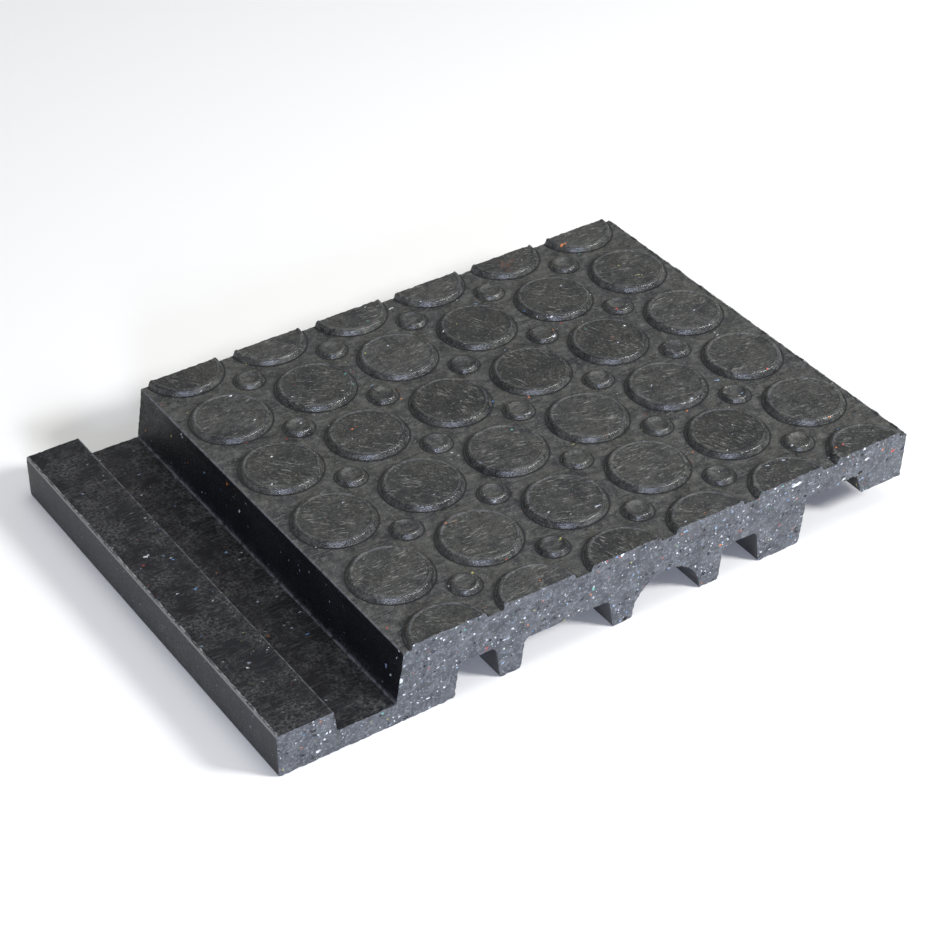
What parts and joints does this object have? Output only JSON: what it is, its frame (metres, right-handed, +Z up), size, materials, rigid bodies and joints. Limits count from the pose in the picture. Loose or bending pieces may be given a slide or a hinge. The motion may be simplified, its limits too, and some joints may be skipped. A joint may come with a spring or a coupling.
{
  "type": "ground stabilisation board",
  "caption": "Moulded recycled-plastic ground board sample with a studded deck, a half-lap ledge with a groove on one side, a hook on the other and channels underneath.",
  "frame": {"origin": "middle of the board's footprint, on the ground", "axes": "+X across the joint from the ledge to the hook, +Y along the joint, +Z up out of the studded deck"},
  "size_m": [0.3664, 0.25, 0.043],
  "materials": {
    "board_plastic": "moulded recycled plastic, charcoal, satin and dusty on the deck, paler and flecked on the sawn ends"
  },
  "bodies": {
    "root": {"board": "board_plastic"}
  },
  "joints": []
}
